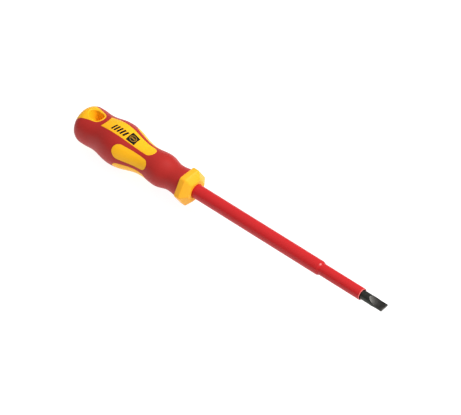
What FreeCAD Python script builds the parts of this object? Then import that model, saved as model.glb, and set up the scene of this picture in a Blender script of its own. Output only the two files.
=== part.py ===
import FreeCAD, Part
import math
import os

# Insulated screwdriver, millimetres. The origin is the centre of the blade's tip, +X runs out of
# the tip along the shaft, so the handle lies at negative X. +Z is up: the hang hole runs along Z,
# and two of the guard's flats face up and down.

# Blade
tip_width = 6.5
tip_thickness = 1.2
tip_flat_length = 2.5        # parallel part of the tip, before the hollow grind begins
ground_length = 11.0         # from the end of the tip to where the grind runs out of the bar
bar_diameter = 6.0
bar_in_handle = 56.0         # bar buried behind the guard's rear face
wing_length = 10.0           # the bar is pressed into two fins that stop it turning in the handle
wing_span = 9.6
wing_thickness = 2.4
wing_setback = 10.0          # from the wings to the buried end of the bar

# Insulation over the bar
exposed_length = 16.9        # bare steel in front of the insulation
thin_sleeve_length = 31.8    # from the sleeve's front end back to the step
thin_sleeve_wall = 0.9
thick_sleeve_wall = 0.8
sleeve_seat = 12.0           # both layers run this far past the guard's rear face, into the core
sleeve_end_round = 0.35
sleeve_mouth_gap = 0.4       # the mouth opens by this much round the bar
sleeve_mouth_depth = 1.5
step_chamfer_length = 1.2
step_lip = 0.15              # outer layer left standing over the inner one at the step's front

# Guard
blade_reach = 150.6          # from the tip to the guard's front face
guard_length = 8.0
guard_flats = 22.0           # across flats
guard_corner_radius = 1.6
guard_nose_flats = 13.6      # across flats of the small front face
guard_taper_length = 4.0
guard_rear_bevel = 0.5
spigot_diameter = 15.0       # the core's front end, plugged into the guard
spigot_length = 4.0

# Handle: the front places are measured back from the guard's rear face, the others forward from
# the butt end, each with the radius there
handle_length = 90.4
collar_radius = 10.0
neck_place, neck_radius = 9.4, 9.1
ridge_place, ridge_radius = 20.7, 11.2
waist_place, waist_radius = 31.6, 10.35
palm_setback, palm_radius = 33.7, 14.85
saddle_setback, saddle_radius = 17.2, 12.65
butt_setback, butt_radius = 11.0, 13.0
butt_edge_radius = 7.5
butt_crown_radius = 40.0
swell_ease = 0.4             # share of a swell's length over which it stays nearly parallel
grip_wall = 2.0              # soft skin over the hard core

# Hanging eye and its hole
hole_setback = 14.6          # from the butt end to the hole's axis
hole_radius = 3.8
hole_neck_length = 6.0       # full round wall in the middle of the hole
hole_lean = 20.0             # degrees by which both mouths lean back towards the butt
eye_rim = 1.4                # yellow wall between the hole and the soft grip
eye_butt_width = 15.6        # the eye's width where it crosses the butt
eye_butt_setback = 3.0       # where that width is measured, from the butt end
bridge_width = 3.2           # soft skin between the eye and the long windows
tongue_width = 7.0           # root that ties the eye to the core
tongue_height = 13.0

# Windows through the soft grip
window_front_setback = 26.6  # from the guard's rear face to the windows' front ends
long_window_spread = 23.5    # degrees from the window's middle to its straight sides
long_window_nose_length = 6.5   # from the window's front end to where the sides begin
long_window_nose_spare = 0.25   # by how much the nose would overrun the sides there
long_window_nose_fullness = 0.6 # 0 for a pointed nose, 1 for a square one
side_window_pitch = 60.0     # degrees from the top window to the next one
side_window_length = 26.0
side_window_rear_radius = 5.1
side_window_front_radius = 3.8
side_window_clearance = 2.5  # degrees between a side window's root and the middle of the web beside it
rim_round = 0.35             # rounding of the hard panels where they meet the soft skin
mouth_round = 0.8            # rounding of the hang hole's mouths

# How finely shapes are compared
same_place = 1e-6
on_surface = 0.01
shortest_edge = 0.1
coarse_mesh = 1.0

# Places along X that follow from the sizes above
guard_front = -blade_reach
guard_rear = guard_front - guard_length
butt_end = guard_rear - handle_length
sleeve_front = -exposed_length
step_front = sleeve_front - thin_sleeve_length
sleeve_rear = guard_rear - sleeve_seat
bar_rear = guard_rear - bar_in_handle
hole_x = butt_end + hole_setback
eye_radius = hole_radius + eye_rim
window_rear_radius = eye_radius + bridge_width
core_rear = hole_x + window_rear_radius
window_front = guard_rear - window_front_setback
window_places = {
    "top_window": ("long", 0.0),
    "bottom_window": ("long", 180.0),
    "left_upper_window": ("side", -side_window_pitch),
    "left_lower_window": ("side", -2.0 * side_window_pitch),
    "right_lower_window": ("side", 2.0 * side_window_pitch),
    "right_upper_window": ("side", side_window_pitch),
}

bar_radius = bar_diameter / 2.0
thin_radius = bar_radius + thin_sleeve_wall
thick_radius = thin_radius + thick_sleeve_wall
spigot_radius = spigot_diameter / 2.0
reach = 2.0 * palm_radius    # clear of the handle on every side, for cutting tools

X_AXIS = FreeCAD.Vector(1, 0, 0)
Y_AXIS = FreeCAD.Vector(0, 1, 0)
Z_AXIS = FreeCAD.Vector(0, 0, 1)
ORIGIN = FreeCAD.Vector(0, 0, 0)


def vec(x, y=0.0, z=0.0):
    return FreeCAD.Vector(x, y, z)


def rod(x_rear, x_front, radius):
    """Cylinder along the shaft axis."""
    return Part.makeCylinder(radius, x_front - x_rear, vec(x_rear), X_AXIS)


def tube(x_rear, x_front, outer, inner):
    return rod(x_rear, x_front, outer).cut(rod(x_rear, x_front, inner))


def plate(edges, height):
    """Closed outline in the XY plane, extruded to the same height above and below it."""
    face = Part.Face(Part.Wire(edges))
    face.translate(vec(0, 0, -height))
    return face.extrude(vec(0, 0, 2.0 * height))


def turned(shape, degrees):
    copy = shape.copy()
    copy.rotate(ORIGIN, X_AXIS, degrees)
    return copy


def line(a, b):
    return Part.LineSegment(a, b).toShape()


def arc(a, through, b):
    return Part.Arc(a, through, b).toShape()


def swell(x0, r0, x1, r1):
    """Meridian curve from one radius to the next, parallel to the axis at both ends."""
    ease = swell_ease * (x1 - x0)
    curve = Part.BezierCurve()
    curve.setPoles([vec(x0, 0, r0), vec(x0 + ease, 0, r0), vec(x1 - ease, 0, r1), vec(x1, 0, r1)])
    return curve.toShape()


def revolved(edges):
    """Solid turned about the shaft axis, with its seam at the side, clear of the eye and the windows."""
    shape = Part.Face(Part.Wire(edges)).revolve(ORIGIN, X_AXIS, 360)
    return turned(shape, 90.0)


def handle_stations():
    xs = [guard_rear - place for place in (0.0, neck_place, ridge_place, waist_place)]
    xs.extend(butt_end + setback for setback in (palm_setback, saddle_setback, butt_setback))
    radii = [collar_radius, neck_radius, ridge_radius, waist_radius, palm_radius, saddle_radius, butt_radius]
    return xs, radii


def spoke(radius, lean):
    """Step of one radius from an arc's centre towards the butt, raised from the axis by an angle."""
    return vec(-radius * math.cos(lean), 0, radius * math.sin(lean))


def butt_curves():
    """Rounded edge and shallow crown that close the handle's rear end."""
    knuckle = butt_radius - butt_edge_radius
    centre_gap = butt_crown_radius - butt_edge_radius
    crown_x = butt_end + butt_crown_radius
    knuckle_x = crown_x - math.sqrt(centre_gap ** 2 - knuckle ** 2)
    lean = math.asin(knuckle / centre_gap)
    half = math.radians(45.0) + lean / 2.0
    start = vec(knuckle_x, 0, butt_radius)
    middle = vec(knuckle_x, 0, knuckle) + spoke(butt_edge_radius, half)
    join = vec(crown_x) + spoke(butt_crown_radius, lean)
    on_crown = vec(crown_x) + spoke(butt_crown_radius, lean / 2.0)
    return start, [arc(start, middle, join), arc(join, on_crown, vec(butt_end))]


def handle_envelope():
    """Outer shape of the whole handle behind the guard, as one solid of revolution."""
    xs, radii = handle_stations()
    edges = [line(vec(xs[0]), vec(xs[0], 0, radii[0]))]
    for i in range(len(xs) - 1):
        edges.append(swell(xs[i], radii[i], xs[i + 1], radii[i + 1]))
    start, dome = butt_curves()
    edges.append(line(vec(xs[-1], 0, radii[-1]), start))
    edges.extend(dome)
    edges.append(line(vec(butt_end), vec(xs[0])))
    return revolved(edges)


def inner_envelope():
    """The handle's outer shape less the soft wall, back to where the butt's round edge begins."""
    xs, radii = handle_stations()
    edges = [line(vec(xs[0]), vec(xs[0], 0, radii[0] - grip_wall))]
    for i in range(len(xs) - 1):
        edges.append(swell(xs[i], radii[i] - grip_wall, xs[i + 1], radii[i + 1] - grip_wall))
    edges.append(line(vec(xs[-1], 0, radii[-1] - grip_wall), vec(xs[-1])))
    edges.append(line(vec(xs[-1]), vec(xs[0])))
    return revolved(edges)


def core_blank(inner):
    """Hard core before the shaft goes in: cut square in front of the eye, spigot for the guard."""
    spigot = rod(guard_rear, guard_rear + spigot_length, spigot_radius)
    behind = Part.makeBox(reach, 2 * reach, 2 * reach, vec(core_rear - reach, -reach, -reach))
    return inner.cut(behind).fuse(spigot).removeSplitter()


def blade():
    """Round bar, upset to the tip's width, hollow ground on both faces, with two fins inside the handle."""
    tip_radius = tip_width / 2.0
    run = ground_length - tip_flat_length
    flare = Part.makeCone(bar_radius, tip_radius, run, vec(-ground_length), X_AXIS)
    bar = rod(bar_rear, -ground_length, bar_radius)
    blank = bar.fuse([flare, rod(-tip_flat_length, 0, tip_radius)])
    depth = bar_radius - tip_thickness / 2.0
    wheel_radius = (run ** 2 + depth ** 2) / (2.0 * depth)
    for side in (1, -1):
        centre = vec(-tip_flat_length, -reach, side * (tip_thickness / 2.0 + wheel_radius))
        wheel = Part.makeCylinder(wheel_radius, 2 * reach, centre, Y_AXIS)
        flat = Part.makeBox(tip_flat_length, 2 * reach, wheel_radius, vec(-tip_flat_length, -reach, 0))
        flat.translate(vec(0, 0, tip_thickness / 2.0 if side > 0 else -tip_thickness / 2.0 - wheel_radius))
        blank = blank.cut(wheel.fuse(flat))
    wings_rear = bar_rear + wing_setback
    corner = vec(wings_rear, -wing_span / 2.0, -wing_thickness / 2.0)
    wings = Part.makeBox(wing_length, wing_span, wing_thickness, corner)
    return blank.fuse(wings).removeSplitter()


def front_edge(shape, x, radius):
    """The circular edge of a turned shape at one place and radius."""
    for edge in shape.Edges:
        radius_gap = abs(getattr(edge.Curve, "Radius", 0.0) - radius)
        if radius_gap < same_place and abs(edge.CenterOfMass.x - x) < same_place:
            return edge
    raise ValueError("no such edge")


def inner_sleeve():
    """First layer of insulation, bare of the outer layer from the step forward."""
    mouth_rear = sleeve_front - sleeve_mouth_depth
    mouth = rod(mouth_rear, sleeve_front, bar_radius + sleeve_mouth_gap)
    shape = tube(sleeve_rear, sleeve_front, thin_radius, bar_radius).cut(mouth)
    return shape.makeFillet(sleeve_end_round, [front_edge(shape, sleeve_front, thin_radius)])


def outer_sleeve():
    """Second layer, ending in a short cone at the step."""
    cone_rear = step_front - step_chamfer_length
    lip_radius = thin_radius + step_lip
    body = rod(sleeve_rear, cone_rear, thick_radius)
    cone = Part.makeCone(thick_radius, lip_radius, step_chamfer_length, vec(cone_rear), X_AXIS)
    return body.fuse(cone).cut(rod(sleeve_rear, step_front, thin_radius)).removeSplitter()


def hexagon(x, across_flats, corner_radius):
    """Hexagon square to the shaft with rounded corners, two flats facing up and down."""
    apothem = across_flats / 2.0
    half_side = apothem * math.tan(math.radians(30.0)) - corner_radius * math.tan(math.radians(30.0))
    edges = []
    for k in range(6):
        turn = math.radians(60.0 * k)
        following = turn + math.radians(60.0)
        a = hexagon_point(x, apothem, -half_side, turn)
        b = hexagon_point(x, apothem, half_side, turn)
        c = hexagon_point(x, apothem, -half_side, following)
        centre_distance = (apothem - corner_radius) / math.cos(math.radians(30.0))
        on_corner = hexagon_point(x, centre_distance + corner_radius, 0.0, turn + math.radians(30.0))
        edges.append(line(a, b))
        edges.append(arc(b, on_corner, c))
    return Part.Wire(edges)


def hexagon_point(x, out, along, turn):
    y = out * math.sin(turn) + along * math.cos(turn)
    z = out * math.cos(turn) - along * math.sin(turn)
    return vec(x, y, z)


def hex_guard():
    """Anti-roll guard: a hexagonal collar tapering to a small front face round the sleeve."""
    taper_start = guard_front - guard_taper_length
    bevelled = guard_flats - 2.0 * guard_rear_bevel
    sections = [hexagon(guard_rear, bevelled, guard_corner_radius - guard_rear_bevel)]
    sections.append(hexagon(guard_rear + guard_rear_bevel, guard_flats, guard_corner_radius))
    sections.append(hexagon(taper_start, guard_flats, guard_corner_radius))
    sections.append(hexagon(guard_front, guard_nose_flats, guard_corner_radius))
    collar = Part.makeLoft(sections, True, True)
    return collar.cut(rod(guard_rear, guard_front, thick_radius)).cut(spigot_socket())


def spigot_socket():
    return rod(guard_rear, guard_rear + spigot_length, spigot_radius)


def hang_hole():
    """Round hole along Z whose two mouths lean back towards the butt."""
    lean = math.radians(hole_lean)
    start = hole_neck_length / 2.0 + hole_radius * math.sin(lean)
    hole = Part.makeCylinder(hole_radius, 2 * reach, vec(hole_x, 0, -reach), Z_AXIS)
    for side in (1, -1):
        direction = vec(-math.sin(lean), 0, side * math.cos(lean))
        mouth = Part.makeCylinder(hole_radius, reach, vec(hole_x, 0, side * start), direction)
        hole = hole.fuse(mouth)
    return hole


def eye_plan():
    """Outline of the eye from above: round in front, widening to the butt."""
    wide = eye_butt_width / 2.0
    rear_x = butt_end + eye_butt_setback
    run = hole_x - rear_x
    slope = math.atan2(wide - eye_radius, run)
    front = vec(hole_x + eye_radius)
    left = vec(hole_x + eye_radius * math.sin(slope), eye_radius * math.cos(slope))
    right = vec(left.x, -left.y)
    grow = math.tan(slope) * (rear_x - (butt_end - reach))
    rear_left = vec(butt_end - reach, wide + grow)
    rear_right = vec(butt_end - reach, -wide - grow)
    outline = [arc(left, front, right), line(right, rear_right)]
    outline.extend([line(rear_right, rear_left), line(rear_left, left)])
    return outline


def hanging_eye(envelope):
    """Hard block through the butt, with the hang hole and a root that meets the core."""
    block = envelope.common(plate(eye_plan(), reach))
    root_rear = hole_x + eye_radius / 2.0
    corner = vec(root_rear, -tongue_width / 2.0, -tongue_height / 2.0)
    root = Part.makeBox(core_rear - root_rear, tongue_width, tongue_height, corner)
    return block.fuse(root).removeSplitter().cut(hang_hole())


def sector(half_angle):
    """Wedge about the top of the handle, between two planes through the shaft axis."""
    wide = reach * math.tan(math.radians(half_angle))
    left = vec(0, wide, reach)
    right = vec(0, -wide, reach)
    edges = [line(vec(0), right), line(right, left), line(left, vec(0))]
    return Part.Face(Part.Wire(edges)).extrude(vec(butt_end))


def nose(side, front):
    """Half of a round nose: leaves the side along the shaft, and meets the front end square to it."""
    full = long_window_nose_fullness
    curve = Part.BezierCurve()
    along = vec(side.x + full * (front.x - side.x), side.y)
    across = vec(front.x, full * side.y)
    curve.setPoles([side, along, across, front])
    return curve.toShape()


def long_window_tool():
    """Cutter for the long windows: sides in two axial planes, a round nose, a hollow rear."""
    half_width = waist_radius * math.sin(math.radians(long_window_spread)) + long_window_nose_spare
    left = vec(window_front - long_window_nose_length, half_width)
    right = vec(left.x, -left.y)
    front = vec(window_front)
    rear_left = vec(hole_x, reach)
    rear_right = vec(hole_x, -reach)
    outline = [nose(left, front), nose(right, front), line(right, rear_right)]
    outline.extend([line(rear_right, rear_left), line(rear_left, left)])
    hollow = Part.makeCylinder(window_rear_radius, 2 * reach, vec(hole_x, 0, -reach), Z_AXIS)
    hollow.rotate(vec(hole_x), Z_AXIS, 180)
    return plate(outline, reach).common(sector(long_window_spread)).cut(hollow)


def side_window_tool():
    """Cutter for a side window: two round ends of different size and their tangent sides."""
    rear_x = window_front - side_window_length + side_window_rear_radius
    front_x = window_front - side_window_front_radius
    slope = math.asin((side_window_rear_radius - side_window_front_radius) / (front_x - rear_x))
    ends = []
    for x, radius in ((rear_x, side_window_rear_radius), (front_x, side_window_front_radius)):
        ends.append(vec(x + radius * math.sin(slope), radius * math.cos(slope)))
    rear_left, front_left = ends
    rear_right = vec(rear_left.x, -rear_left.y)
    front_right = vec(front_left.x, -front_left.y)
    outline = [arc(front_left, vec(window_front), front_right), line(front_right, rear_right)]
    outline.append(arc(rear_right, vec(rear_x - side_window_rear_radius), rear_left))
    outline.append(line(rear_left, front_left))
    return plate(outline, reach).common(sector(side_window_pitch / 2.0 - side_window_clearance))


def lies_on(shell, points):
    """Whether all the points are on a surface."""
    return all(shell.distToShape(Part.Vertex(point))[0] < on_surface for point in points)


def rim_edges(shape, envelope):
    """Edges where a face of the handle's outer surface meets a face that goes inward."""
    shell = envelope.Shells[0]
    rims = []
    outer_faces = [face for face in shape.Faces if lies_on(shell, face.tessellate(coarse_mesh)[0])]
    real_edges = [edge for edge in shape.Edges if edge.Length > shortest_edge]
    for edge in real_edges:
        if lies_on(shell, edge.discretize(5)):
            uses = [other for face in outer_faces for other in face.Edges if other.isSame(edge)]
            if len(uses) == 1 and not any(edge.isSeam(face) for face in outer_faces):
                rims.append(edge)
    return rims


def eased_window(window, envelope):
    """Hard panel, flush with the soft grip round it, its edges rounded where they show."""
    return window.makeFillet(rim_round, rim_edges(window, envelope))


def eased_eye(eye, envelope):
    """Rounds the eye's outline and, more, the mouths of its hole."""
    wall = hang_hole().Shells[0]
    outline = [edge for edge in rim_edges(eye, envelope) if not lies_on(wall, edge.discretize(5))]
    eye = eye.makeFillet(rim_round, outline)
    mouths = [edge for edge in rim_edges(eye, envelope) if lies_on(wall, edge.discretize(5))]
    return eye.makeFillet(mouth_round, mouths)


def save(name, shape):
    solids = shape.Solids
    if len(solids) != 1 or not shape.isValid():
        raise ValueError(f"{name}: {len(solids)} solids, valid {shape.isValid()}")
    solids[0].exportStep(os.path.join("parts", name + ".step"))
    print(f"{name}: {solids[0].Volume:.1f} mm3")


def main():
    os.makedirs("parts", exist_ok=True)
    envelope = handle_envelope()
    inner = inner_envelope()
    core = core_blank(inner)
    bar = blade()
    sleeves = rod(sleeve_rear, guard_front, thick_radius)
    eye = hanging_eye(envelope)
    skin = envelope.cut(inner)
    sharp = {"long": skin.common(long_window_tool()), "side": skin.common(side_window_tool())}
    rounded = {kind: eased_window(shape, envelope) for kind, shape in sharp.items()}
    openings = [eye, hang_hole()]
    for name, (kind, degrees) in window_places.items():
        openings.append(turned(sharp[kind], degrees))
        save(name, turned(rounded[kind], degrees))
    save("blade", bar)
    save("inner_sleeve", inner_sleeve())
    save("outer_sleeve", outer_sleeve())
    save("hex_guard", hex_guard())
    save("handle_core", core.cut(bar.fuse(sleeves)))
    save("hanging_eye", eased_eye(eye, envelope))
    save("soft_grip", envelope.cut(core.fuse(openings)))


main()
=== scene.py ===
"""Looks of an insulated slotted screwdriver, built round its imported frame."""
import math

import bmesh
import bpy
from bpy.props import FloatProperty, FloatVectorProperty, PointerProperty
from mathutils import Matrix, Vector


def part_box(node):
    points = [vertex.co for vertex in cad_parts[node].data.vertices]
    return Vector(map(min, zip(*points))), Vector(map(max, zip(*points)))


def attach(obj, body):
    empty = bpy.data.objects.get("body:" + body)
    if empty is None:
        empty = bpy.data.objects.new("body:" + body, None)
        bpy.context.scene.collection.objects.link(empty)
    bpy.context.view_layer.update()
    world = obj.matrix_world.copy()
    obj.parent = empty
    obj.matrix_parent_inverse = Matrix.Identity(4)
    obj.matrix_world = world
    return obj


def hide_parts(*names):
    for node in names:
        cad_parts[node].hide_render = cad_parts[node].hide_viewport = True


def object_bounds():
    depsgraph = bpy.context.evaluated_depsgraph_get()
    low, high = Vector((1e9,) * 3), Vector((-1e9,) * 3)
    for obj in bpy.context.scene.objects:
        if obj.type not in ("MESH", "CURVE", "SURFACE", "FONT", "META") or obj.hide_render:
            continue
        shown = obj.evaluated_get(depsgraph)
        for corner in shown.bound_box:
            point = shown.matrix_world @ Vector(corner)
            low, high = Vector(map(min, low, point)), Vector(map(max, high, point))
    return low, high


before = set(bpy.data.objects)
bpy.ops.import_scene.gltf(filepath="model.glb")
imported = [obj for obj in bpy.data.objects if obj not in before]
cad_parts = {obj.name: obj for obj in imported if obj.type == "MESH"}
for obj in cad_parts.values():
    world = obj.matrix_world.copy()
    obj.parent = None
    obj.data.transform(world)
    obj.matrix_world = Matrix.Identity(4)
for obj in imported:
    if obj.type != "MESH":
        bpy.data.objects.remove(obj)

bl_info = {
    "name": "Insulated Screwdriver",
    "version": (1, 0, 0),
    "blender": (4, 5, 0),
    "location": "View3D > Sidebar > Screwdriver",
    "description": "Builds the sleeves, guard, blade and finishes of an insulated screwdriver",
    "category": "Object",
}

CAD_LOW, CAD_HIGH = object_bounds()

MM = 0.001

GUARD_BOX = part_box("hex_guard")
OUTER_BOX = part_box("outer_sleeve")
INNER_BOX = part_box("inner_sleeve")
BLADE_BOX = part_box("blade")

# Modelling
ROUND_SIDES = 96                            # sides of the turned pieces
WHEEL_SIDES = 256                           # sides of the large grinding wheel
ON_PLACE = 0.001 * MM                       # how near a vertex must be to a plane to count as on it
ON_RADIUS = 0.02 * MM                       # how near it must be to a radius
ON_WHEEL = 0.01 * MM                        # how near a face must be to the grinding wheel
MERGE = 0.001 * MM                          # vertices nearer than this are merged
CUT_MERGE = 0.002 * MM                      # the same on the blade before its edges are worn
CUTTER_OVERRUN = 2.0 * MM                   # how far a cutter runs past its piece
LENGTHWAYS = 1.0 * MM                       # an edge that runs further than this along the shaft
WEAR_REACH = 0.5 * MM                       # how far behind the ground faces the edges are worn
WORN_ANGLE = math.radians(22)               # edges of the tip sharper than this are worn
SMOOTH_ANGLE = math.radians(30)             # edges sharper than this stay sharp in the shading
BLADE_SMOOTH_ANGLE = math.radians(35)       # the same on the blade

# Places of its materials in the blade's list
BAR, WORN, GROUND = range(3)

# Sockets of a colour Mix node, which share their names with those of its other types
MIX_FACTOR, MIX_A, MIX_B, MIX_RESULT = 0, 6, 7, 2

# Noise
NOISE_ROUGHNESS = 0.55
NOISE_LOW, NOISE_HIGH = 0.3, 0.7            # nearly all of a noise lies between these

# Cut end of the insulation, painted paler: a painted highlight on its rounded rim, partly also a paler cut
# face. Where the paint begins and where it is palest, behind the end
HIGHLIGHT_FROM = 0.55 * MM
HIGHLIGHT_TO = 0.25 * MM

# Print on the top panel: screw head in a square, then a row of leaning strokes towards the butt
PRINT_RADIUS = 14.0 * MM
SQUARE_X = -203.1 * MM
SQUARE_OFFSET = 1.0 * MM
SQUARE_LENGTH = 6.4 * MM
SQUARE_WIDTH = 7.6 * MM
HEAD_RADIUS = 2.2 * MM
HEAD_LINE = 0.5 * MM
HEAD_FADE = 0.35                            # how much of the panel's colour the screw head lets through
SLOT_SHARE = 0.7                            # half the slot's length, as a share of the head's radius
STROKES_X = -213.4 * MM
STROKES_OFFSET = 1.9 * MM
STROKES_WIDTH = 4.4 * MM
STROKE_COUNT = 5                            # odd, because the middle stroke is on the row's centre
STROKE_PITCH = 2.4 * MM
STROKE_THICKNESS = 1.5 * MM
STROKE_LEAN = 0.35

# Stage
AIM = Vector((-125.0 * MM, 0, 0))
FLOOR_SIZE = 6.0
FLOOR_GAP = 0.02 * MM                       # keeps the floor clear of the lowest panel
PAPER_GLOW = 0.92
HORIZON_LIGHT = 0.18
ZENITH_LIGHT = 0.73
KEY_RIGHT, KEY_UP, KEY_BACK = 0.5, 0.5, 0.62
KEY_SIZE = 0.36
KEY_POWER = 9.0
CAMERA_LENS = 197.19
CAMERA_WIDTH = 36.0
CAMERA_DISTANCE = 1.56013
CAMERA_TURN = math.radians(41.533)
CAMERA_RISE = math.radians(44.646)
CAMERA_SIDESTEP = 2.02 * MM
CAMERA_LIFT = 1.63 * MM


# ---------------------------------------------------------------- colour and material tools


def linear(code):
    """Linear colour, with alpha, of an sRGB hex code."""
    channels = [int(code[i:i + 2], 16) / 255 for i in (1, 3, 5)]
    toned = [c / 12.92 if c <= 0.04045 else ((c + 0.055) / 1.055) ** 2.4 for c in channels]
    return (*toned, 1.0)


def shaded(colour, share):
    """A colour made darker or lighter by a share."""
    return (*(min(1.0, c * share) for c in colour[:3]), 1.0)


def add_node(tree, kind, settings=None, inputs=None):
    """Adds a node, sets its properties, and gives its inputs values or links from other sockets."""
    node = tree.nodes.new(kind)
    for key, value in (settings or {}).items():
        setattr(node, key, value)
    for key, value in (inputs or {}).items():
        if isinstance(value, bpy.types.NodeSocket):
            tree.links.new(value, node.inputs[key])
        else:
            node.inputs[key].default_value = value
    return node


def clouded(name, settings, tones, roughness, cloud, texture=None):
    """Material whose colour and roughness drift together in soft clouds.

    settings are constant inputs of the shader. tones and roughness each go from one side of the clouds to the
    other. cloud and texture are noises: the real size of their blobs, their detail, and how far each axis is
    stretched. The texture, where there is one, is a bump with a depth and a strength.
    """
    material = bpy.data.materials.new(name)
    material.use_nodes = True
    tree = material.node_tree
    tree.nodes.clear()
    place = add_node(tree, "ShaderNodeTexCoord").outputs["Object"]
    noises = []
    for pattern in (cloud, texture or {}):
        if pattern:
            scale = [1 / (pattern["size"] * stretch) for stretch in pattern.get("stretch", (1, 1, 1))]
            mapped = add_node(tree, "ShaderNodeMapping", inputs={"Vector": place, "Scale": scale})
            noises.append(add_node(tree, "ShaderNodeTexNoise", inputs={
                "Vector": mapped.outputs["Vector"], "Scale": 1.0, "Detail": pattern.get("detail", 2.0),
                "Roughness": NOISE_ROUGHNESS}).outputs["Fac"])
    tone = add_node(tree, "ShaderNodeMix", {"data_type": "RGBA"}, {
        MIX_FACTOR: noises[0], MIX_A: tones[0], MIX_B: tones[1]})
    gloss = add_node(tree, "ShaderNodeMapRange", inputs={
        "Value": noises[0], "From Min": NOISE_LOW, "From Max": NOISE_HIGH,
        "To Min": roughness[0], "To Max": roughness[1]})
    shader = add_node(tree, "ShaderNodeBsdfPrincipled", {"name": "shader"}, {
        **settings, "Base Color": tone.outputs[MIX_RESULT], "Roughness": gloss.outputs["Result"]})
    if texture:
        bump = add_node(tree, "ShaderNodeBump", inputs={
            "Height": noises[1], "Distance": texture["depth"], "Strength": texture["strength"]})
        tree.links.new(bump.outputs["Normal"], shader.inputs["Normal"])
    add_node(tree, "ShaderNodeOutputMaterial", inputs={"Surface": shader.outputs["BSDF"]})
    return material


def overlay(material, mask, colour):
    """Lays a colour over a material's own, where the mask is 1."""
    tree = material.node_tree
    base = tree.nodes["shader"].inputs["Base Color"]
    mixed = add_node(tree, "ShaderNodeMix", {"data_type": "RGBA"}, {
        MIX_FACTOR: mask, MIX_A: base.links[0].from_socket, MIX_B: colour})
    tree.links.new(mixed.outputs[MIX_RESULT], base)


# ---------------------------------------------------------------- materials


def soft_touch_tpe(colour):
    """Thermoplastic elastomer moulded in a spark-eroded tool: matt, a little dusty, no sharp highlight."""
    # The tool's spark texture is about 0.15 mm; drawn at 0.45 mm so that it shows.
    return clouded(
        "soft_touch_elastomer", {"IOR": 1.5, "Specular IOR Level": 0.24},
        tones=(shaded(colour, 0.93), shaded(colour, 1.08)), roughness=(0.40, 0.48),
        cloud={"size": 14.0 * MM, "detail": 3.0},
        texture={"size": 0.45 * MM, "depth": 0.035 * MM, "strength": 0.7})


def moulded_polypropylene(colour, name="moulded_polypropylene"):
    """Hard polypropylene moulded in a satin tool: soft highlight, faint clouds, light let in at edges."""
    # The satin tool finish is about 0.1 mm; drawn at 0.4 mm so that it shows.
    return clouded(
        name,
        {"IOR": 1.49, "Specular IOR Level": 0.2, "Subsurface Weight": 0.05, "Subsurface Scale": 1.2 * MM},
        tones=(shaded(colour, 0.97), shaded(colour, 1.04)), roughness=(0.33, 0.40),
        cloud={"size": 20.0 * MM, "stretch": (2.5, 1, 1)},
        texture={"size": 0.4 * MM, "depth": 0.01 * MM, "strength": 0.6})


def printed_polypropylene(colour, ink):
    """The same polypropylene with a pad-printed mark: a screw head in a square, and leaning strokes."""
    made = moulded_polypropylene(colour, "printed_polypropylene")
    overlay(made, print_mask(made.node_tree), ink)
    return made


def print_mask(tree):
    """Mask of the printed mark, from the place along the shaft and the way round it from the top."""
    place = add_node(tree, "ShaderNodeTexCoord").outputs["Object"]
    split = add_node(tree, "ShaderNodeSeparateXYZ", inputs={"Vector": place})
    values = {axis: split.outputs[axis] for axis in "XYZ"}
    # Each step is a Math node; its inputs are numbers, or names of axes and of steps before it.
    steps = {
        "minus y": ("MULTIPLY", "Y", -1.0),
        "angle": ("ARCTAN2", "minus y", "Z"),
        "across": ("MULTIPLY", "angle", PRINT_RADIUS),
        # The filled square
        "square x": ("SUBTRACT", "X", SQUARE_X),
        "square y": ("SUBTRACT", "across", SQUARE_OFFSET),
        "in length": ("COMPARE", "square x", 0.0, SQUARE_LENGTH / 2),
        "in width": ("COMPARE", "square y", 0.0, SQUARE_WIDTH / 2),
        "square": ("MULTIPLY", "in length", "in width"),
        # The screw head in it: a ring and a slot
        "x squared": ("MULTIPLY", "square x", "square x"),
        "y squared": ("MULTIPLY", "square y", "square y"),
        "radius squared": ("ADD", "x squared", "y squared"),
        "radius": ("SQRT", "radius squared"),
        "ring": ("COMPARE", "radius", HEAD_RADIUS, HEAD_LINE / 2),
        "slot length": ("COMPARE", "square x", 0.0, HEAD_RADIUS * SLOT_SHARE),
        "slot width": ("COMPARE", "square y", 0.0, HEAD_LINE),
        "slot": ("MULTIPLY", "slot length", "slot width"),
        "head": ("MAXIMUM", "ring", "slot"),
        "faded": ("MULTIPLY", "head", HEAD_FADE),
        "inked": ("SUBTRACT", 1.0, "faded"),
        "emblem": ("MULTIPLY", "square", "inked"),
        # The row of strokes, whose x leans with the way across it
        "row x": ("SUBTRACT", "X", STROKES_X),
        "row y": ("SUBTRACT", "across", STROKES_OFFSET),
        "lean": ("MULTIPLY", "row y", STROKE_LEAN),
        "leaning x": ("ADD", "row x", "lean"),
        "from stroke": ("WRAP", "leaning x", STROKE_PITCH / 2, -STROKE_PITCH / 2),
        "stroke": ("COMPARE", "from stroke", 0.0, STROKE_THICKNESS / 2),
        "row length": ("COMPARE", "leaning x", 0.0, STROKE_COUNT * STROKE_PITCH / 2),
        "row width": ("COMPARE", "row y", 0.0, STROKES_WIDTH / 2),
        "row": ("MULTIPLY", "row length", "row width"),
        "strokes": ("MULTIPLY", "stroke", "row"),
        "mark": ("MAXIMUM", "emblem", "strokes"),
    }
    for name, (operation, *inputs) in steps.items():
        sources = {index: values.get(source, source) for index, source in enumerate(inputs)}
        values[name] = add_node(tree, "ShaderNodeMath", {"operation": operation}, sources).outputs[0]
    return values["mark"]


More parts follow.
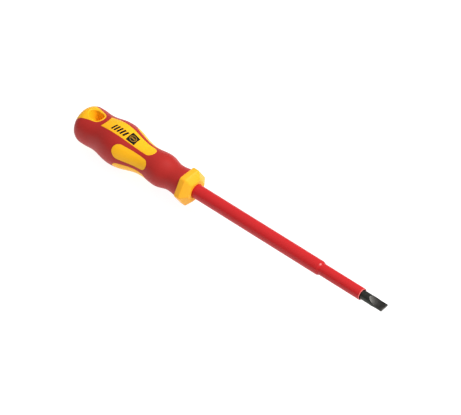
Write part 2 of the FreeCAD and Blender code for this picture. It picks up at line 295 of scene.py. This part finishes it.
def extruded_insulation(colour, cut_end_highlight):
    """Polypropylene insulation drawn over the bar: satin gloss, faint draw lines, and a cut end painted
    paler, a painted highlight on its rounded rim that partly stands for a paler cut face.
    """
    # Draw lines stand about 0.2 mm apart; drawn at 0.5 mm so that they show.
    made = clouded(
        "extruded_insulation", {"IOR": 1.5, "Specular IOR Level": 0.28},
        tones=(shaded(colour, 0.95), shaded(colour, 1.06)), roughness=(0.27, 0.34),
        cloud={"size": 9.0 * MM, "stretch": (4, 1, 1)},
        texture={"size": 0.5 * MM, "stretch": (40, 1, 1), "depth": 0.012 * MM, "strength": 0.6})
    tree = made.node_tree
    place = add_node(tree, "ShaderNodeTexCoord").outputs["Object"]
    split = add_node(tree, "ShaderNodeSeparateXYZ", inputs={"Vector": place})
    end = INNER_BOX[1].x
    # Painted highlight: the colour turns paler towards the cut end, for the rounded rim's highlight and
    # partly for a paler cut face.
    painted_highlight = add_node(tree, "ShaderNodeMapRange", inputs={
        "Value": split.outputs["X"], "From Min": end - HIGHLIGHT_FROM, "From Max": end - HIGHLIGHT_TO})
    overlay(made, painted_highlight.outputs["Result"], cut_end_highlight)
    return made


def black_oxide_steel(colour):
    """Chrome-vanadium steel bar blackened in hot oxide: dark satin, slightly mottled."""
    return clouded(
        "black_oxide_steel", {"Metallic": 1.0},
        tones=(shaded(colour, 0.7), shaded(colour, 1.35)), roughness=(0.36, 0.5),
        cloud={"size": 1.6 * MM, "detail": 4.0})


def ground_black_steel(colour):
    """The same steel where a wheel has hollow ground it before the oxide: greyer, with cross marks."""
    # Wheel marks are about 0.05 mm apart; drawn at 0.25 mm so that they show.
    return clouded(
        "ground_black_steel", {"Metallic": 1.0},
        tones=(shaded(colour, 0.8), shaded(colour, 1.25)), roughness=(0.36, 0.5),
        cloud={"size": 1.6 * MM, "detail": 4.0},
        texture={"size": 0.25 * MM, "stretch": (1, 30, 30), "depth": 0.02 * MM, "strength": 0.7})


def worn_steel(colour):
    """Edges where handling has rubbed the oxide thin: brighter, smoother steel with dark specks left."""
    return clouded(
        "worn_edge_steel", {"Metallic": 1.0},
        tones=(shaded(colour, 0.6), shaded(colour, 1.3)), roughness=(0.3, 0.42),
        cloud={"size": 0.7 * MM, "detail": 3.0})


def white_paper():
    """Matt studio paper, lit from within so that it stays white."""
    return clouded(
        "white_paper",
        {"Specular IOR Level": 0.1, "Emission Color": linear("#FFFFFF"), "Emission Strength": PAPER_GLOW},
        tones=(linear("#888888"), linear("#8C8C8C")), roughness=(0.89, 0.91), cloud={"size": 20.0 * MM})


# ---------------------------------------------------------------- modelling tools


def only(obj):
    """Leaves one object selected and active."""
    bpy.ops.object.select_all(action="DESELECT")
    obj.select_set(True)
    bpy.context.view_layer.objects.active = obj


def named(name):
    """Names the object just added, with its place moved into its mesh."""
    obj = bpy.context.active_object
    obj.name = name
    obj.data.name = name
    only(obj)
    bpy.ops.object.transform_apply(location=True, rotation=True, scale=True)
    return obj


def bar_primitive(name, rear, front, radius, sides=ROUND_SIDES):
    """Round or polygonal bar along the shaft, with capped ends."""
    bpy.ops.object.select_all(action="DESELECT")
    bpy.ops.mesh.primitive_cylinder_add(
        vertices=sides, radius=radius, depth=front - rear, location=((rear + front) / 2, 0, 0),
        rotation=(0, math.pi / 2, 0))
    return named(name)


def edit(obj):
    """Opens an object's mesh for editing."""
    only(obj)
    bpy.ops.object.mode_set(mode="EDIT")


def done():
    """Closes the mesh being edited."""
    bpy.ops.object.mode_set(mode="OBJECT")


def pick(kind, test):
    """Selects what passes a test in the mesh being edited: its faces (FACE) or edges (EDGE)."""
    bpy.ops.mesh.select_mode(type=kind)
    bpy.ops.mesh.select_all(action="DESELECT")
    data = bpy.context.active_object.data
    mesh = bmesh.from_edit_mesh(data)
    mesh.normal_update()
    picked = [element for element in (mesh.faces if kind == "FACE" else mesh.edges) if test(element)]
    if not picked:
        raise RuntimeError(f"no {kind.lower()} passes the test")
    for element in picked:
        element.select_set(True)
    bmesh.update_edit_mesh(data)


def cap_at(x, sense):
    """Test for the flat end of a bar at one place, facing forward (1) or back (-1)."""
    return lambda face: abs(face.calc_center_median().x - x) < ON_PLACE and face.normal.x * sense > 0.9


def ring_at(x, radius=None):
    """Test for edges that run round the shaft at one place, and at one radius where it is given."""
    def test(edge):
        if any(abs(v.co.x - x) > ON_PLACE for v in edge.verts):
            return False
        return radius is None or all(abs(math.hypot(v.co.y, v.co.z) - radius) < ON_RADIUS for v in edge.verts)
    return test


def extrude_along(distance):
    """Extrudes what is selected along the shaft."""
    bpy.ops.mesh.extrude_region_move(TRANSFORM_OT_translate={"value": (distance, 0, 0)})


def resize_round(x, share):
    """Scales what is selected about the shaft's axis."""
    bpy.ops.transform.resize(value=(1, share, share), center_override=(x, 0, 0))


def bevel(width, steps):
    """Rounds the selected edges."""
    bpy.ops.mesh.bevel(offset=width, offset_type="OFFSET", segments=steps, profile=0.5, affect="EDGES")


def bore_between(rear, front):
    """Joins the round flat faces at these places into a hole, and drops the faces."""
    at_rear, at_front = cap_at(rear, -1), cap_at(front, 1)
    pick("FACE", lambda face: len(face.verts) == ROUND_SIDES and (at_rear(face) or at_front(face)))
    bpy.ops.mesh.bridge_edge_loops()


def cut(obj, cutter, operation="DIFFERENCE"):
    """Cuts or joins with another object, which is then removed."""
    only(obj)
    modifier = obj.modifiers.new("cut", "BOOLEAN")
    modifier.object = cutter
    modifier.operation = operation
    modifier.solver = "EXACT"
    bpy.ops.object.modifier_apply(modifier=modifier.name)
    bpy.data.objects.remove(cutter)


def tidy(obj, angle=SMOOTH_ANGLE):
    """Merges doubles, turns faces outward and smooths all but the sharp edges."""
    edit(obj)
    bpy.ops.mesh.select_all(action="SELECT")
    bpy.ops.mesh.remove_doubles(threshold=MERGE)
    bpy.ops.mesh.normals_make_consistent(inside=False)
    done()
    only(obj)
    bpy.ops.object.shade_smooth_by_angle(angle=angle)


def dress(obj, *materials):
    """Gives a piece its materials; faces keep their number in the list."""
    obj.data.materials.clear()
    for material in materials:
        obj.data.materials.append(material)


def paint_selected(obj, number):
    """Gives the faces selected in edit mode one of the piece's materials."""
    obj.active_material_index = number
    bpy.ops.object.material_slot_assign()


def finish_piece(obj, node):
    """Gives a finished piece its place in the frame."""
    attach(obj, "root")
    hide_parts(node)


# ---------------------------------------------------------------- sizes and colours


def length(name, description, default):
    """Length that a user may change."""
    return FloatProperty(name=name, description=description, default=default, unit="LENGTH", precision=5)


def tint(name, description, code):
    """Colour that a user may change, from its sRGB hex code."""
    return FloatVectorProperty(
        name=name, description=description, default=linear(code), size=4, subtype="COLOR", min=0, max=1)


class ScrewdriverSizes(bpy.types.PropertyGroup):
    """Sizes of the pieces shaped here"""
    bar_radius: length("Bar radius", "Radius of the steel bar", 3.0 * MM)
    tip_thickness: length("Tip thickness", "Thickness of the blade's tip", 1.2 * MM)
    tip_width: length("Tip width", "Width of the blade's tip", 6.5 * MM)
    tip_flat: length("Tip flat", "Length over which the tip's faces are parallel", 2.5 * MM)
    ground_length: length("Ground length", "Length of the hollow-ground faces", 11.0 * MM)
    edge_wear: length("Worn edge", "Width of the rubbed edges of the tip", 0.08 * MM)
    fin_length: length("Fin length", "Length of the fins pressed from the buried bar", 10.0 * MM)
    fin_span: length("Fin span", "Width across both fins", 9.6 * MM)
    fin_thickness: length("Fin thickness", "Thickness of the fins", 2.4 * MM)
    fin_setback: length("Fin setback", "From the fins to the buried end of the bar", 10.0 * MM)
    outer_radius: length("Outer sleeve radius", "Radius over both layers of insulation", OUTER_BOX[1].z)
    inner_radius: length("Inner sleeve radius", "Radius over the first layer of insulation", INNER_BOX[1].z)
    step_length: length("Step", "Length of the outer layer's cone", 1.2 * MM)
    step_lip: length("Step lip", "Height of the outer layer's front edge over the inner layer", 0.15 * MM)
    step_round: length("Step rounding", "Rounding where the outer layer's cone begins", 0.35 * MM)
    mouth_gap: length("Mouth gap", "Gap between the bar and the sleeve's mouth", 0.4 * MM)
    mouth_depth: length("Mouth depth", "Depth of that gap", 1.5 * MM)
    mouth_round: length("Mouth rounding", "Rounding of the sleeve's front edge", 0.35 * MM)
    mouth_edge: length("Mouth edge", "Rounding of the gap's edge", 0.12 * MM)
    guard_taper: length("Guard taper", "Length of the guard's tapered front", 4.0 * MM)
    guard_nose: length("Guard nose", "Across flats of the guard's front face", 13.6 * MM)
    guard_corner: length("Guard corner", "Radius of the guard's six corners", 1.6 * MM)
    guard_round: length("Guard edge", "Rounding of the guard's ends and taper", 0.45 * MM)
    bore_round: length("Bore edge", "Rounding of the guard's bore at its front", 0.35 * MM)
    socket_radius: length("Socket radius", "Radius of the guard's socket for the handle's core", 7.5 * MM)
    socket_depth: length("Socket depth", "Depth of that socket", 4.0 * MM)


class ScrewdriverColours(bpy.types.PropertyGroup):
    """Colours of the finishes"""
    grip: tint("Grip", "Soft grip", "#AF2521")
    panel: tint("Panel", "Hard panels and hanging eye", "#FFB81A")
    guard: tint("Guard", "Hexagonal guard", "#FAB126")
    core: tint("Core", "Hard core under the grip", "#E9A526")
    ink: tint("Ink", "Printed mark", "#0C0906")
    insulation: tint("Insulation", "Sleeves on the shaft", "#BE1D20")
    # Painted highlight colour for the sleeve's rounded cut end, partly also a paler cut face.
    cut_end_highlight: tint("Cut end", "Paler cut end of the insulation", "#DE6A66")
    steel: tint("Steel", "Blackened bar", "#3C3E3A")
    ground_steel: tint("Ground steel", "Ground faces of the tip", "#383735")
    worn_steel: tint("Worn steel", "Rubbed edges of the tip", "#5E5C58")


# ---------------------------------------------------------------- pieces


class SCREWDRIVER_OT_blade(bpy.types.Operator):
    """Turned bar, flared to the tip and hollow ground on both faces, with two fins inside the handle"""
    bl_idname = "screwdriver.blade"
    bl_label = "Blade"

    def execute(self, context):
        sizes = context.scene.screwdriver_sizes
        colours = context.scene.screwdriver_colours
        rear, front = BLADE_BOX[0].x, BLADE_BOX[1].x
        shoulder = front - sizes.ground_length
        flat_start = front - sizes.tip_flat
        run = flat_start - shoulder
        tip_radius = sizes.tip_width / 2
        half = sizes.tip_thickness / 2
        depth = sizes.bar_radius - half
        wheel_radius = (run ** 2 + depth ** 2) / (2 * depth)

        def ground(face):
            """True where the wheel has cut: the face lies on the wheel or on the parallel tip."""
            centre = face.calc_center_median()
            if centre.x < shoulder:
                return False
            height = half + wheel_radius - math.sqrt(wheel_radius ** 2 - min(0.0, centre.x - flat_start) ** 2)
            return abs(abs(centre.z) - height) < ON_WHEEL

        blade = bar_primitive("steel_blade", rear, shoulder, sizes.bar_radius)
        edit(blade)
        pick("FACE", cap_at(shoulder, 1))
        extrude_along(run)
        resize_round(flat_start, tip_radius / sizes.bar_radius)
        extrude_along(sizes.tip_flat)
        done()
        for side in (1, -1):
            cut(blade, self.wheel(sizes, Vector((flat_start, 0, side * (half + wheel_radius))), wheel_radius))
        cut(blade, self.fins(sizes, rear), "UNION")
        dress(blade, black_oxide_steel(colours.steel), worn_steel(colours.worn_steel),
              ground_black_steel(colours.ground_steel))
        edit(blade)
        bpy.ops.mesh.select_all(action="SELECT")
        bpy.ops.mesh.remove_doubles(threshold=CUT_MERGE)
        pick("FACE", ground)
        paint_selected(blade, GROUND)
        pick("EDGE", lambda edge: edge.is_manifold and edge.calc_face_angle(0) > WORN_ANGLE
             and min(v.co.x for v in edge.verts) > shoulder - WEAR_REACH)
        bevel(sizes.edge_wear, 2)
        paint_selected(blade, WORN)
        done()
        tidy(blade, BLADE_SMOOTH_ANGLE)
        finish_piece(blade, "blade")
        return {"FINISHED"}

    def wheel(self, sizes, centre, radius):
        """Grinding wheel, its front half drawn out straight, so that it also clears the parallel tip."""
        bpy.ops.object.select_all(action="DESELECT")
        bpy.ops.mesh.primitive_cylinder_add(
            vertices=WHEEL_SIDES, radius=radius, depth=3 * sizes.tip_width, location=centre,
            rotation=(math.pi / 2, 0, 0))
        wheel = named("wheel")
        edit(wheel)
        pick("FACE", lambda face: face.normal.x > 0.01)
        extrude_along(2 * sizes.tip_flat)
        done()
        return wheel

    def fins(self, sizes, rear):
        """Flat block whose sides stand out of the bar as its two fins."""
        bpy.ops.object.select_all(action="DESELECT")
        bpy.ops.mesh.primitive_cube_add(
            size=1, scale=(sizes.fin_length, sizes.fin_span, sizes.fin_thickness),
            location=(rear + sizes.fin_setback + sizes.fin_length / 2, 0, 0))
        return named("fins")


class SCREWDRIVER_OT_sleeves(bpy.types.Operator):
    """Two layers of insulation: the outer one ends in a short cone, the inner one in a rounded mouth"""
    bl_idname = "screwdriver.sleeves"
    bl_label = "Insulating sleeves"

    def execute(self, context):
        sizes = context.scene.screwdriver_sizes
        colours = context.scene.screwdriver_colours
        material = extruded_insulation(colours.insulation, colours.cut_end_highlight)
        self.outer(sizes, material)
        self.inner(sizes, material)
        return {"FINISHED"}

    def outer(self, sizes, material):
        rear, front = OUTER_BOX[0].x, OUTER_BOX[1].x
        cone_rear = front - sizes.step_length
        sleeve = bar_primitive("sleeve_outer_layer", rear, cone_rear, sizes.outer_radius)
        edit(sleeve)
        pick("FACE", cap_at(cone_rear, 1))
        extrude_along(sizes.step_length)
        resize_round(front, (sizes.inner_radius + sizes.step_lip) / sizes.outer_radius)
        bpy.ops.mesh.inset(thickness=sizes.step_lip)
        pick("FACE", cap_at(rear, -1))
        bpy.ops.mesh.inset(thickness=sizes.outer_radius - sizes.inner_radius)
        bore_between(rear, front)
        pick("EDGE", ring_at(cone_rear, sizes.outer_radius))
        bevel(sizes.step_round, 3)
        done()
        tidy(sleeve)
        dress(sleeve, material)
        finish_piece(sleeve, "outer_sleeve")

    def inner(self, sizes, material):
        rear, front = INNER_BOX[0].x, INNER_BOX[1].x
        wall = sizes.inner_radius - sizes.bar_radius
        sleeve = bar_primitive("sleeve_inner_layer", rear, front, sizes.inner_radius)
        edit(sleeve)
        pick("FACE", cap_at(front, 1))
        bpy.ops.mesh.inset(thickness=wall - sizes.mouth_gap)
        extrude_along(-sizes.mouth_depth)
        bpy.ops.mesh.inset(thickness=sizes.mouth_gap)
        pick("FACE", cap_at(rear, -1))
        bpy.ops.mesh.inset(thickness=wall)
        bore_between(rear, front - sizes.mouth_depth)
        pick("EDGE", ring_at(front, sizes.inner_radius))
        bevel(sizes.mouth_round, 5)
        pick("EDGE", ring_at(front, sizes.bar_radius + sizes.mouth_gap))
        bevel(sizes.mouth_edge, 2)
        done()
        tidy(sleeve)
        dress(sleeve, material)
        finish_piece(sleeve, "inner_sleeve")


class SCREWDRIVER_OT_guard(bpy.types.Operator):
    """Hexagonal guard, tapering to a small front face round the sleeve"""
    bl_idname = "screwdriver.guard"
    bl_label = "Guard"

    def execute(self, context):
        sizes = context.scene.screwdriver_sizes
        rear, front = GUARD_BOX[0].x, GUARD_BOX[1].x
        apothem = GUARD_BOX[1].z
        half_corner = math.radians(30)          # half the angle that each of the six sides takes up
        body_front = front - sizes.guard_taper
        guard = bar_primitive("guard_hexagon", rear, body_front, apothem / math.cos(half_corner), 6)
        edit(guard)
        pick("FACE", cap_at(body_front, 1))
        extrude_along(sizes.guard_taper)
        resize_round(front, sizes.guard_nose / 2 / apothem)
        pick("EDGE", lambda edge: abs(edge.verts[0].co.x - edge.verts[1].co.x) > LENGTHWAYS)
        bevel(sizes.guard_corner * math.tan(half_corner), 6)
        for place in (rear, body_front, front):
            pick("EDGE", ring_at(place))
            bevel(sizes.guard_round, 3)
        done()
        behind = rear - CUTTER_OVERRUN
        cut(guard, bar_primitive("bore", behind, front + CUTTER_OVERRUN, sizes.outer_radius))
        cut(guard, bar_primitive("socket", behind, rear + sizes.socket_depth, sizes.socket_radius))
        edit(guard)
        pick("EDGE", ring_at(front, sizes.outer_radius))
        bevel(sizes.bore_round, 3)
        done()
        tidy(guard)
        dress(guard, moulded_polypropylene(context.scene.screwdriver_colours.guard, "guard_polypropylene"))
        finish_piece(guard, "hex_guard")
        return {"FINISHED"}


class SCREWDRIVER_OT_handle(bpy.types.Operator):
    """Finishes for the handle's core, grip, panels and hanging eye, whose shapes come from the frame"""
    bl_idname = "screwdriver.handle"
    bl_label = "Handle finishes"

    def execute(self, context):
        colours = context.scene.screwdriver_colours
        panel = moulded_polypropylene(colours.panel)
        finishes = {name: (panel, "hard_yellow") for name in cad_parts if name.endswith("_window")}
        finishes["hanging_eye"] = (panel, "hard_yellow")
        finishes["top_window"] = (printed_polypropylene(colours.panel, colours.ink), "hard_yellow")
        finishes["soft_grip"] = (soft_touch_tpe(colours.grip), "soft_red")
        finishes["handle_core"] = (moulded_polypropylene(colours.core, "core_polypropylene"), "hard_core")
        for name, (material, slot) in finishes.items():
            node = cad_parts[name]
            for place in node.material_slots:
                place.material = material
        return {"FINISHED"}


# ---------------------------------------------------------------- stage


def camera_axes():
    """The camera's right, up and back directions."""
    along, aside = math.cos(CAMERA_TURN), math.sin(CAMERA_TURN)
    level, rise = math.cos(CAMERA_RISE), math.sin(CAMERA_RISE)
    right = Vector((along, aside, 0))
    up = Vector((-rise * aside, rise * along, level))
    back = Vector((level * aside, -level * along, rise))
    return right, up, back


class SCREWDRIVER_OT_stage(bpy.types.Operator):
    """Pale floor, soft studio light and the camera"""
    bl_idname = "screwdriver.stage"
    bl_label = "Stage"

    def execute(self, context):
        scene = context.scene
        self.floor()
        self.sky(scene)
        right, up, back = camera_axes()
        self.soft_light(scene, "key_softbox", right * KEY_RIGHT + up * KEY_UP + back * KEY_BACK)
        self.camera(scene, right, up, back)
        scene.view_settings.view_transform = "Standard"
        return {"FINISHED"}

    def floor(self):
        """White paper just under the tool."""
        bpy.ops.object.select_all(action="DESELECT")
        bpy.ops.mesh.primitive_plane_add(size=FLOOR_SIZE, location=(AIM.x, 0, CAD_LOW[2] - FLOOR_GAP))
        floor = named("studio_floor")
        dress(floor, white_paper())

    def sky(self, scene):
        """White light all round, strongest overhead."""
        world = bpy.data.worlds.new("studio")
        world.use_nodes = True
        tree = world.node_tree
        direction = add_node(tree, "ShaderNodeTexCoord").outputs["Generated"]
        height = add_node(tree, "ShaderNodeSeparateXYZ", inputs={"Vector": direction}).outputs["Z"]
        glow = add_node(tree, "ShaderNodeMapRange", inputs={
            "Value": height, "To Min": HORIZON_LIGHT, "To Max": ZENITH_LIGHT})
        tree.links.new(glow.outputs["Result"], tree.nodes["Background"].inputs["Strength"])
        tree.nodes["Background"].inputs["Color"].default_value = linear("#FFFFFF")
        scene.world = world

    def soft_light(self, scene, name, offset):
        """Square soft box at an offset from the tool, turned to face it."""
        data = bpy.data.lights.new(name, "AREA")
        data.shape = "SQUARE"
        data.size = KEY_SIZE
        data.energy = KEY_POWER
        light = bpy.data.objects.new(name, data)
        scene.collection.objects.link(light)
        light.location = AIM + offset
        light.rotation_euler = (-offset).to_track_quat("-Z", "Y").to_euler()

    def camera(self, scene, right, up, back):
        """Long lens, high on the tip's side."""
        data = bpy.data.cameras.new("camera")
        data.lens = CAMERA_LENS
        data.sensor_width = CAMERA_WIDTH
        camera = bpy.data.objects.new("camera", data)
        scene.collection.objects.link(camera)
        place = AIM + back * CAMERA_DISTANCE + right * CAMERA_SIDESTEP + up * CAMERA_LIFT
        camera.matrix_world = Matrix.Translation(place) @ Matrix((right, up, back)).transposed().to_4x4()
        scene.camera = camera


# ---------------------------------------------------------------- panel and registration


class SCREWDRIVER_PT_panel(bpy.types.Panel):
    """Lists the pieces, their sizes and their colours"""
    bl_label = "Insulated Screwdriver"
    bl_space_type = "VIEW_3D"
    bl_region_type = "UI"
    bl_category = "Screwdriver"

    def draw(self, context):
        for operator in OPERATORS:
            self.layout.operator(operator.bl_idname)
        for group in (context.scene.screwdriver_sizes, context.scene.screwdriver_colours):
            for name in group.__annotations__:
                self.layout.prop(group, name)


OPERATORS = (SCREWDRIVER_OT_blade, SCREWDRIVER_OT_sleeves, SCREWDRIVER_OT_guard, SCREWDRIVER_OT_handle,
             SCREWDRIVER_OT_stage)
CLASSES = (ScrewdriverSizes, ScrewdriverColours, *OPERATORS, SCREWDRIVER_PT_panel)


def register():
    for cls in CLASSES:
        bpy.utils.register_class(cls)
    bpy.types.Scene.screwdriver_sizes = PointerProperty(type=ScrewdriverSizes)
    bpy.types.Scene.screwdriver_colours = PointerProperty(type=ScrewdriverColours)


def unregister():
    del bpy.types.Scene.screwdriver_colours
    del bpy.types.Scene.screwdriver_sizes
    for cls in reversed(CLASSES):
        bpy.utils.unregister_class(cls)


def main():
    register()
    bpy.ops.screwdriver.blade()
    bpy.ops.screwdriver.sleeves()
    bpy.ops.screwdriver.guard()
    bpy.ops.screwdriver.handle()
    bpy.ops.screwdriver.stage()


if __name__ == "__main__":
    main()
